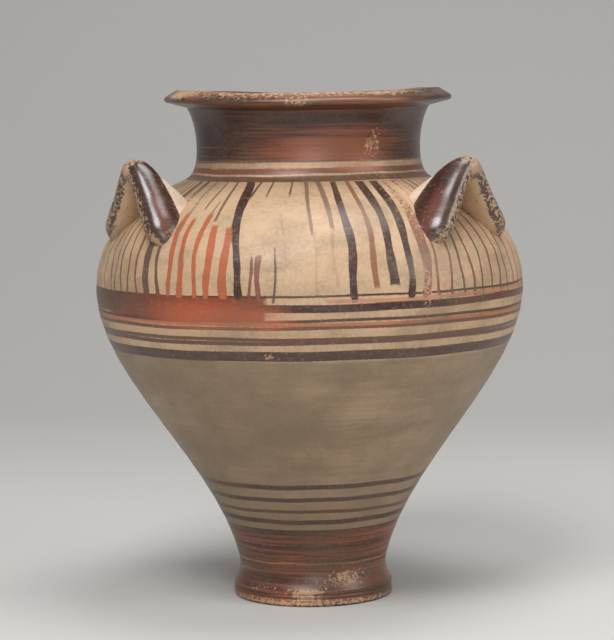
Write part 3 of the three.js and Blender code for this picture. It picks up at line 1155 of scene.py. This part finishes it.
@dataclass
class Foot(Turned):
    """The foot: a ring with a grooved upright edge, a splay up to the waist and a hollow underside.

    The upright edge is the foot's radius less a bell curve for each groove: its depth times e raised to
    minus the squared distance from its middle, in half widths.

    Attributes:
        worn_edge: the inset of the edge that it rests on, and the inset and height of the bevel's top.
        edge_heights: start, end and step of the upright edge.
        grooves, groove_depth, groove_width: the grooves' heights, depth and half width.
        splay_start, splay_bend, splay_steps: the curve from the upright edge to the waist.
        rest_width: how far in from the foot's radius the ring that it rests on ends.
    """

    worn_edge: Pair = (2.0, 0.6)
    edge_heights: Triple = (2, 13.4, 0.35)
    grooves: Pair = (6.7, 10.1)
    groove_depth: float = 0.9
    groove_width: float = 0.8
    splay_start: float = 13.5
    splay_bend: float = 21.7
    splay_steps: int = 14
    rest_width: float = 15.0

    NAME: ClassVar[str] = "foot"

    def outline(self) -> Outline:
        """Makes the outline of the upright edge, the splay and the hollow.

        Returns:
            Closed points of radius and height, from the resting edge up the outside and down the hollow.
        """
        inset, bevel = self.worn_edge
        height = np.arange(*self.edge_heights)
        away = [(height - middle) / self.groove_width for middle in self.grooves]
        cut = sum(self.groove_depth * np.exp(-(far**2)) for far in away)
        edge = np.stack([FOOT_RADIUS - cut, height], 1)
        splay = bezier([(FOOT_RADIUS, self.splay_start), (WAIST_RADIUS, self.splay_bend),
                        (WAIST_RADIUS, WAIST)], self.splay_steps)
        socket = HOLLOW_RADIUS + TENON_GAP
        return np.vstack([[(FOOT_RADIUS - inset, 0), (FOOT_RADIUS - bevel, bevel)], edge, splay,
                          [(socket, WAIST), (socket, WAIST - TENON), (FOOT_RADIUS - self.rest_width, 0)]])


@dataclass
class LowerBody(Turned):
    """The lower body: the wall from the waist to the belly, closed below by the floor and its tenon.

    Attributes:
        ring_heights: low end, high end and step of the outside's stretches, finest where it is painted.
        back_steps, corner_steps: the points down the inside and the steps round its corner.
        pole: the radius of the small discs that close the axis.
    """

    ring_heights: tuple[Triple, ...] = ((WAIST, 72, 1.6), (72, 116, 0.9), (116, 222, 5), (222, BELLY, 0.9))
    back_steps: int = 14
    corner_steps: int = 5
    pole: float = 0.5

    NAME: ClassVar[str] = "lower_body"
    SLOT: ClassVar[Slot] = Slot.PAINTED_CLAY
    BANDS: ClassVar[Sequence[Band]] = BANDS
    CAPPED: ClassVar[bool] = True

    def outline(self) -> Outline:
        """Makes the outline of the tenon, the wall and the floor inside.

        Returns:
            Points of radius and height, from the middle of the tenon's underside to that of the floor.
        """
        out = np.array(heights(*self.ring_heights) + [BELLY])
        corner_top = FLOOR_TOP + FLOOR_CORNER
        back = np.linspace(BELLY, corner_top, self.back_steps)
        inner = self.profile.inside(corner_top)
        corner = bezier([(inner, corner_top), (inner, FLOOR_TOP), (inner - FLOOR_CORNER, FLOOR_TOP)],
                        self.corner_steps)
        underside = WAIST - TENON
        return np.vstack([
            [(self.pole, underside), (HOLLOW_RADIUS, underside), (HOLLOW_RADIUS, WAIST)],
            np.stack([self.profile.radius(out), out], 1), np.stack([self.profile.inside(back), back], 1),
            corner[1:], [(self.pole, FLOOR_TOP)],
        ])


@dataclass
class Shoulder(Turned):
    """The shoulder: the ring of wall from the belly to the neck, with its brush strokes."""

    ring_heights: tuple[Triple, ...] = ((BELLY, 285, 1.2), (285, NECK, 1.7))

    NAME: ClassVar[str] = "shoulder"
    SLOT: ClassVar[Slot] = Slot.PAINTED_CLAY
    BANDS: ClassVar[Sequence[Band]] = BANDS
    STRIPED: ClassVar[bool] = True
    EVERY: ClassVar[int] = 1

    def outline(self) -> Outline:
        """Makes the closed outline of the ring, as points of radius and height."""
        return self.profile.ring(BELLY, NECK, heights(*self.ring_heights))


@dataclass
class Neck(Turned):
    """The neck: the ring of wall from the shoulder to the lip, with its painted rings."""

    ring_heights: tuple[Triple, ...] = ((NECK, 392, 0.9), (392, LIP, 2))

    NAME: ClassVar[str] = "neck"
    BANDS: ClassVar[Sequence[Band]] = NECK_RINGS

    def outline(self) -> Outline:
        """Makes the closed outline of the ring, as points of radius and height."""
        return self.profile.ring(NECK, LIP, heights(*self.ring_heights))


@dataclass
class Lip(Turned):
    """The lip: it spreads out to a round tip, slopes in to the crest and rounds into the mouth.

    Attributes:
        overhang, tip_rise: how far the tip stands out from the neck and above the lip's joint.
        tip_round, tip_start, tip_end, tip_points: the tip's radius, and its arc in degrees.
        face_inset: how far in from the tip the sloping face would meet the crest.
        crown: inset from the tip and height from the crest of the curve over the crest.
        slope_points, crown_steps, mouth_points: the points of the slopes, the crest and the mouth.
    """

    overhang: float = 19.8
    tip_rise: float = 7.5
    tip_round: float = 3.0
    tip_start: float = -80.0
    tip_end: float = 60.0
    tip_points: int = 12
    face_inset: float = 11.0
    crown: tuple[Pair, ...] = ((10, -0.3), (12, 0.2), (14, 0))
    slope_points: int = 10
    crown_steps: int = 6
    mouth_points: int = 8

    NAME: ClassVar[str] = "lip"

    def outline(self) -> Outline:
        """Makes the outline of the tip, the crest and the mouth.

        Returns:
            Closed points of radius and height, from the joint out to the tip, over the crest and down.
        """
        tip_radius, tip_height = NECK_TOP_RADIUS + self.overhang, LIP + self.tip_rise
        turn = np.radians(np.linspace(self.tip_start, self.tip_end, self.tip_points))
        tip = np.stack([tip_radius - self.tip_round + self.tip_round * np.cos(turn),
                        tip_height + self.tip_round * np.sin(turn)], 1)
        under = np.linspace((NECK_TOP_RADIUS, LIP), tip[0], self.slope_points)[:-1]
        face = np.linspace(tip[-1], (tip_radius - self.face_inset, CREST), self.slope_points)[1:-1]
        crown = bezier([(tip_radius - inset, CREST + rise) for inset, rise in self.crown], self.crown_steps)
        turn = np.radians(np.linspace(90, 180, self.mouth_points))
        mouth = np.stack([MOUTH_RADIUS + MOUTH_ROUND + MOUTH_ROUND * np.cos(turn),
                          CREST - MOUTH_ROUND + MOUTH_ROUND * np.sin(turn)], 1)
        return np.vstack([under, tip, face, crown, mouth, [(self.profile.inside(LIP), LIP)]])


@dataclass(frozen=True)
class Handle:
    """One loop handle.

    Attributes:
        name: its name in the CAD nodes.
        turn: degrees from the front towards +X.
        root_thickness: the thickness of its limbs at the roots.
        root_lean: how far the roots stand in from the apex.
        roots: the names of its roots, at +X and at -X of a loop that stands at +Y.
    """

    name: str
    turn: float
    root_thickness: float
    root_lean: float
    roots: tuple[str, str]


HANDLES = [
    Handle("back", 180, 48, 12, ("right", "left")),
    Handle("left", -57, 40, 9, ("rear", "front")),
    Handle("right", 57, 56, 15, ("front", "rear")),
]


@dataclass
class Limb:
    """Places along one limb of a loop that stands at +Y, from its apex to its root.

    Attributes:
        aside, height: the middle's place across the loop and above the floor.
        out: the middle's distance from the jar's axis.
        run_aside, run_height: the direction of the run there.
        thick, deep: the half sizes, outwards and square to the run.
    """

    aside: np.ndarray
    height: np.ndarray
    out: np.ndarray
    run_aside: np.ndarray
    run_height: np.ndarray
    thick: np.ndarray
    deep: np.ndarray


@dataclass(frozen=True)
class HandleWear:
    """Where the slip of a loop is worn or redder, over places from -1 to 1 across, over and along it.

    Attributes:
        everywhere: the wear all over.
        edges: more on the outermost line of each face.
        roots: more towards the roots.
        apex, apex_length, apex_faces: more on top, how far along it, and from which face outwards.
        inner_face: more on the face towards the neck.
        underside, past_apex: more under the limbs, past the apex.
        red, red_middle, red_width, red_run: the redder stretch along the top of each limb.
    """

    everywhere: float = 0.16
    edges: Ease = Ease(0.86, 1.0, 0.4)
    roots: Ease = Ease(0.86, 1.0, 0.2)
    apex: float = 0.55
    apex_length: float = 0.16
    apex_faces: float = -0.2
    inner_face: Ease = Ease(0.35, 0.9, 0.4)
    underside: Ease = Ease(0.3, 0.75, 0.75)
    past_apex: Ease = Ease(0.1, 0.3)
    red: float = 0.4
    red_middle: float = 0.3
    red_width: float = 0.5
    red_run: Ease = Ease(0.25, 0.7)

    def worn(self, across: np.ndarray, over: np.ndarray, along: np.ndarray) -> np.ndarray:
        """Adds up the wear.

        Args:
            across: from the face towards the neck, -1, to the outer face, 1.
            over: from the underside, -1, to the top, 1.
            along: from one root, -1, to the other, 1.

        Returns:
            The wear at each place.
        """
        worn = self.everywhere + self.edges.over(np.abs(across)) + self.roots.over(np.abs(along))
        worn += self.apex * np.exp(-((along / self.apex_length) ** 2)) * (across > self.apex_faces)
        worn += self.inner_face.over(-across)
        return worn + self.underside.over(-over) * self.past_apex.over(np.abs(along))

    def reddened(self, across: np.ndarray, over: np.ndarray, along: np.ndarray) -> np.ndarray:
        """Gives how red the slip is, for the same places as the wear.

        Args:
            across, over, along: as for the wear.

        Returns:
            The redness at each place.
        """
        middle = self.red * np.exp(-(((across - self.red_middle) / self.red_width) ** 2))
        return middle * (over > 0) * self.red_run.over(np.abs(along))


@dataclass
class Handles:
    """The three loops and the luting clay on the neck side of their roots.

    Both limbs of a loop follow one Bezier curve down from the apex, mirrored. A limb's section is an oval,
    its sine and cosine raised to just under 1, so that its sides stay fuller. The section grows evenly from
    apex to root, and the root leans in by the sine of the way down.

    Attributes:
        profile: the wall that the roots stand on.
        throwing: the unevenness that all pieces share.
        wear: how the loops are worn.
        reach, apex_height: the distance from the jar's axis and the height of a loop's middle at its apex.
        root_height, root_spread: the height of the roots and their distance from the loop's middle.
        apex_flat, limb_pull: how far the curve keeps level at the apex, and how far aside and down from
            there it is pulled.
        apex_thickness, apex_depth, root_depth: the section's sizes at the apex and its depth at the root.
        deep_power, thick_power: the powers that fill out the oval.
        end_share: how far down its run a limb's last ring lies.
        end_round: the length over which its end is rounded.
        buried: how deep a root may reach into the wall.
        sides, steps, curve_steps: points round a limb, rings along each limb and steps of its curve.
        luting_length, luting_reach, luting_tip, luting_inset, luting_rings: the wedge's length up the limb,
            what its thickness gains from its tip to the root, its tip's thickness, how much shallower it is
            than the limb, and its rings.
    """

    profile: Profile
    throwing: Throwing
    wear: HandleWear = HandleWear()
    reach: float = 169.7
    apex_height: float = 382.0
    root_height: float = 317.5
    root_spread: float = 54.0
    apex_flat: float = 10.0
    limb_pull: Pair = (20.0, 26.0)
    apex_thickness: float = 20.0
    apex_depth: float = 19.0
    root_depth: float = 27.0
    deep_power: float = 0.9
    thick_power: float = 0.92
    end_share: float = 0.995
    end_round: float = 16.0
    buried: float = 3.5
    sides: int = 40
    steps: int = 56
    curve_steps: int = 200
    luting_length: float = 52.0
    luting_reach: float = 26.0
    luting_tip: float = 1.5
    luting_inset: float = 3.0
    luting_rings: int = 30
    run: Outline = field(init=False)
    length: float = field(init=False)

    def __post_init__(self) -> None:
        """Works out the run of a limb and its length."""
        pull_aside, pull_down = self.limb_pull
        self.run = bezier([(0, self.apex_height), (self.apex_flat, self.apex_height),
                           (pull_aside, self.apex_height - pull_down),
                           (self.root_spread, self.root_height)], self.curve_steps)
        self.length = float(np.linalg.norm(np.diff(self.run, axis=0), axis=1).sum())

    def around(self) -> np.ndarray:
        """Gives the turns of the points round a limb, in radians from the outer face."""
        return np.linspace(0, 2 * math.pi, self.sides, endpoint=False)

    def limb(self, share: np.ndarray, handle: Handle) -> Limb:
        """Finds the middles and sizes of a limb.

        Args:
            share: shares of its run, from 0 at the apex to 1 at the root.
            handle: the loop that it belongs to.

        Returns:
            The limb at those shares.
        """
        steps = np.linspace(0, 1, len(self.run))
        tangent = np.gradient(self.run, axis=0)
        tangent /= np.linalg.norm(tangent, axis=1)[:, None]
        aside, height, run_aside, run_height = (
            np.interp(share, steps, column) for column in np.hstack([self.run, tangent]).T)
        out = self.reach - handle.root_lean * np.sin(share * math.pi / 2)
        thick = (self.apex_thickness + (handle.root_thickness - self.apex_thickness) * share) / 2
        deep = (self.apex_depth + (self.root_depth - self.apex_depth) * share) / 2
        return Limb(aside, height, out, run_aside, run_height, thick, deep)

    def rings(self, limb: Limb, side: np.ndarray) -> np.ndarray:
        """Makes an oval ring of points round each place along a limb.

        Args:
            limb: the places.
            side: 1 for the limb at +X and -1 for the one at -X, for each place.

        Returns:
            Places in millimetres, by ring and by point.
        """
        sine, cosine = np.sin(self.around()), np.cos(self.around())
        deep = limb.deep[:, None] * np.sign(sine) * np.abs(sine) ** self.deep_power
        thick = limb.thick[:, None] * np.sign(cosine) * np.abs(cosine) ** self.thick_power
        return np.stack([
            side[:, None] * (limb.aside[:, None] - limb.run_height[:, None] * deep),
            limb.out[:, None] + thick,
            limb.height[:, None] + limb.run_aside[:, None] * deep,
        ], -1)

    def place(self, rings: np.ndarray, handle: Handle) -> np.ndarray:
        """Turns rings to their handle's place and lets nothing reach through the wall.

        Args:
            rings: places round a loop that stands at +Y.
            handle: the loop that they belong to.

        Returns:
            One row for each place, in millimetres, lifted to just under the shoulder where it lay deeper.
        """
        angle = math.radians(handle.turn) - math.pi
        x, y, z = rings.reshape(-1, 3).T
        x, y = x * math.cos(angle) - y * math.sin(angle), x * math.sin(angle) + y * math.cos(angle)
        floor = self.profile.height(np.hypot(x, y)) - self.buried
        return np.stack([x, y, np.maximum(z, floor)], 1)

    def loop(self, handle: Handle) -> tuple[np.ndarray, list, Paint]:
        """Makes a whole loop, root to root, with rounded ends.

        Args:
            handle: the loop's sizes.

        Returns:
            Its points, its faces and its paint.
        """
        along = np.linspace(-self.end_share, self.end_share, 2 * self.steps + 1)
        limb = self.limb(np.abs(along), handle)
        to_end = self.length * (1 - np.abs(along))
        close = np.sqrt(1 - (1 - np.minimum(to_end / self.end_round, 1)) ** 2)
        limb.thick, limb.deep = limb.thick * close, limb.deep * close
        points = self.place(self.rings(limb, np.where(along < 0, -1.0, 1.0)), handle)
        around = np.tile(self.around(), len(along))
        across, over = np.cos(around), np.sin(around)
        beside = np.repeat(along, self.sides)
        paint = Paint.even(len(points), P.DARK, FAR, 1)
        paint.worn = self.wear.worn(across, over, beside)
        paint.reddened = self.wear.reddened(across, over, beside)
        return points, ring_faces(len(along), self.sides, False), paint

    def luting(self, handle: Handle, side: int) -> tuple[np.ndarray, list, Paint]:
        """Makes the wedge of clay on the neck side of one root.

        Its thickness grows evenly from its tip, up the limb, to its root. It reaches from the limb's middle
        past the limb's inner face by that thickness.

        Args:
            handle: the loop that it holds.
            side: 1 for the root at +X and -1 for the one at -X.

        Returns:
            Its points, its faces and its paint.
        """
        to_end = self.luting_length * (1 - self.end_share * np.linspace(0, 1, self.luting_rings))
        limb = self.limb(1 - to_end / self.length, handle)
        wedge = self.luting_tip + self.luting_reach * (1 - to_end / self.luting_length)
        limb.thick = (limb.thick + wedge) / 2
        limb.out = limb.out - limb.thick
        limb.deep = limb.deep - self.luting_inset
        rings = self.rings(limb, np.full(self.luting_rings, float(side)))
        points = self.place(rings if side > 0 else rings[::-1], handle)
        paint = Paint.even(len(points), P.TAN, -FAR, 0)
        return points, ring_faces(self.luting_rings, self.sides, False), paint

    def build(self, materials: Materials) -> list[Piece]:
        """Builds and dresses each loop and the luting at its two roots.

        Args:
            materials: the material of each slot.

        Returns:
            The pieces.
        """
        pieces = []
        for handle in HANDLES:
            points, faces, paint = self.loop(handle)
            loop = Piece(f"handle_{handle.name}", self.throwing.settle(points), faces, paint)
            pieces.append(loop.dress(Slot.DARK_SLIP, materials))
            for side, root in zip((1, -1), handle.roots):
                points, faces, paint = self.luting(handle, side)
                luting = Piece(f"luting_{handle.name}_{root}", self.throwing.settle(points), faces, paint)
                pieces.append(luting.dress(Slot.RAW_CLAY, materials))
        return pieces


@dataclass(frozen=True)
class Lamp:
    """A square soft light.

    Attributes:
        name: its name.
        place: where it stands, in metres.
        size: its side in metres.
        power: its power in watts.
    """

    name: str
    place: Triple
    size: float
    power: float


@dataclass
class Studio:
    """The pale floor that bends up behind the jar, the soft lights and the camera.

    Attributes:
        floor_reach, bend_start, bend_radius: how far the floor reaches, and its bend, in metres.
        bend_steps: the points of the bend.
        floor_colour, floor_rough: its finish.
        sky_colour, sky_strength: the light from all round.
        lamps, lit_height: the lamps, and the height in metres that they look at.
        image_height_px, focal_px, horizon_px, offset_px: the photograph's height, the focal length, how far
            its middle lies below the camera's level, and how far the jar's axis lies beside it, in pixels.
        sensor: the camera's sensor in millimetres.
        distance, eye_height: the camera's distance and height in metres.
        roll: the camera's roll in degrees.
    """

    floor_reach: float = 9.0
    bend_start: float = 1.2
    bend_radius: float = 1.6
    bend_steps: int = 40
    floor_colour: Triple = linear(206, 204, 200)
    floor_rough: float = 0.8
    sky_colour: Triple = linear(222, 224, 228)
    sky_strength: float = 0.4
    lamps: tuple[Lamp, ...] = (
        Lamp("key", (-0.4, -1.4, 2.1), 0.9, 32.0), Lamp("top", (0.3, 0.0, 2.2), 1.0, 17.0),
        Lamp("side", (1.8, -0.7, 1.3), 0.9, 11.0), Lamp("front", (0.3, -2.3, 0.8), 1.0, 9.0),
    )
    lit_height: float = 0.28
    image_height_px: float = 640.0
    focal_px: float = 2460.0
    horizon_px: float = 227.0
    offset_px: float = 3.2
    sensor: float = 36.0
    distance: float = 2.18
    eye_height: float = 0.446
    roll: float = -0.66

    def add_floor(self) -> None:
        """Makes the floor: level up to a quarter circle, then upright, carried from side to side."""
        g = Graph("pale_floor")
        finish = {"Base Color": (*self.floor_colour, 1), "Roughness": self.floor_rough}
        g.node("ShaderNodeOutputMaterial", {0: g.node("ShaderNodeBsdfPrincipled", finish)})
        start, radius = self.bend_start, self.bend_radius
        angle = np.linspace(0, math.pi / 2, self.bend_steps)
        bend = np.stack([start + radius * np.sin(angle), radius * (1 - np.cos(angle))], 1)
        sweep = np.vstack([(-self.floor_reach, 0), bend, (start + radius, self.floor_reach)])
        places = np.empty((len(sweep), 2, 3))
        places[:, :, 0] = (-self.floor_reach, self.floor_reach)
        places[:, :, 1:] = sweep[:, None]
        first = 2 * np.arange(len(sweep) - 1)[:, None]
        mesh = bpy.data.meshes.new("floor")
        mesh.from_pydata(places.reshape(-1, 3).tolist(), [], (first + (0, 1, 3, 2)).tolist())
        mesh.shade_smooth()
        mesh.materials.append(g.material)
        floor = bpy.data.objects.new("floor", mesh)
        bpy.context.scene.collection.objects.link(floor)

    def add_lights(self) -> None:
        """Sets the light from all round and the lamps, each turned to the jar."""
        scene = bpy.context.scene
        scene.world = bpy.data.worlds.new("studio")
        scene.world.use_nodes = True
        sky = scene.world.node_tree.nodes["Background"]
        sky.inputs["Color"].default_value = (*self.sky_colour, 1)
        sky.inputs["Strength"].default_value = self.sky_strength
        for lamp in self.lamps:
            light = bpy.data.lights.new(lamp.name, "AREA")
            light.size, light.energy = lamp.size, lamp.power
            made = bpy.data.objects.new(lamp.name, light)
            made.location = lamp.place
            towards = Vector((0, 0, self.lit_height)) - Vector(lamp.place)
            made.rotation_euler = towards.to_track_quat("-Z", "Y").to_euler()
            scene.collection.objects.link(made)

    def add_camera(self) -> None:
        """Sets the camera where the photograph was taken from."""
        scene = bpy.context.scene
        tilt, roll = math.atan(self.horizon_px / self.focal_px), math.radians(self.roll)
        turn = math.radians(CAMERA_TURN)
        camera = bpy.data.cameras.new("camera")
        camera.sensor_fit, camera.sensor_height = "VERTICAL", self.sensor
        camera.lens = self.focal_px / self.image_height_px * self.sensor
        camera.shift_x = -self.offset_px / self.image_height_px
        eye = bpy.data.objects.new("camera", camera)
        place = (self.distance * math.sin(turn), -self.distance * math.cos(turn), self.eye_height)
        upright = Matrix.Rotation(turn, 4, "Z") @ Matrix.Rotation(math.pi / 2 - tilt, 4, "X")
        eye.matrix_world = Matrix.Translation(place) @ upright @ Matrix.Rotation(roll, 4, "Z")
        scene.collection.objects.link(eye)
        scene.camera = eye

    def build(self) -> None:
        """Builds the floor, the lights and the camera."""
        self.add_floor()
        self.add_lights()
        self.add_camera()
        bpy.context.scene.view_settings.view_transform = "Standard"


def main() -> None:
    """Builds the jar from its foot up, then its handles, and sets the studio round it."""
    logging.basicConfig(level=logging.INFO)
    age, profile, painter, throwing = Ageing(), Profile(), Painter(), Throwing()
    materials = {slot: Surface(slot, age).material() for slot in Slot}
    turned = [part(profile, painter, throwing) for part in (Foot, LowerBody, Shoulder, Neck, Lip)]
    for assembly in [*turned, Handles(profile, throwing)]:
        for piece in assembly.build(materials):
            LOG.info("%s: %d faces", piece.object.name, len(piece.object.data.polygons))
    Studio().build()


if __name__ == "__main__":
    main()
